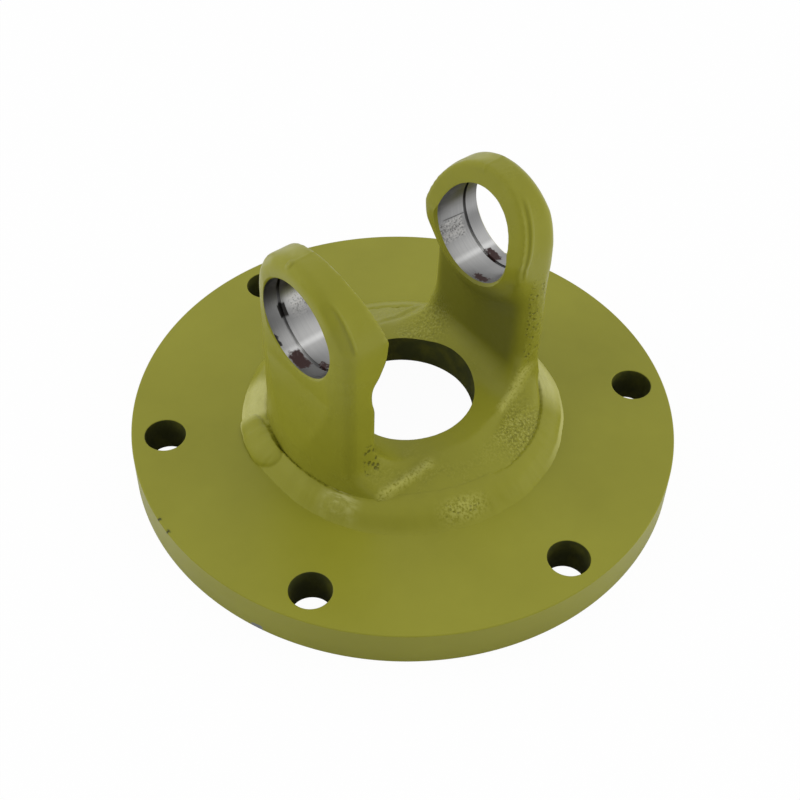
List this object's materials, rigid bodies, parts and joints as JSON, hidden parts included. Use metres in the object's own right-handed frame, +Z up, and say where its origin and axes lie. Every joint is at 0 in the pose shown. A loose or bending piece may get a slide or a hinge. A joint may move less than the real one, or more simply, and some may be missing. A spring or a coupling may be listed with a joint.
{
  "type": "flange yoke",
  "caption": "Universal-joint flange yoke: a drilled round flange with a forged fork welded on top, whose two ears are bored in line for the bearing cups of a cross.",
  "frame": {"origin": "centre of the flange disc's lower mounting face", "axes": "+Z up along the flange axis, towards the ears; +X along the common axis of the two bearing bores"},
  "size_m": [0.18, 0.18, 0.0975],
  "materials": {
    "plate_paint": "satin olive enamel on turned plate",
    "forging_paint": "satin olive enamel over a forged skin, with bare machined bearing bores",
    "weld_paint": "satin olive enamel over a rippled weld"
  },
  "bodies": {
    "root": {"flange_disc": "plate_paint", "yoke_forging": "forging_paint", "weld_bead": "weld_paint"}
  },
  "joints": []
}
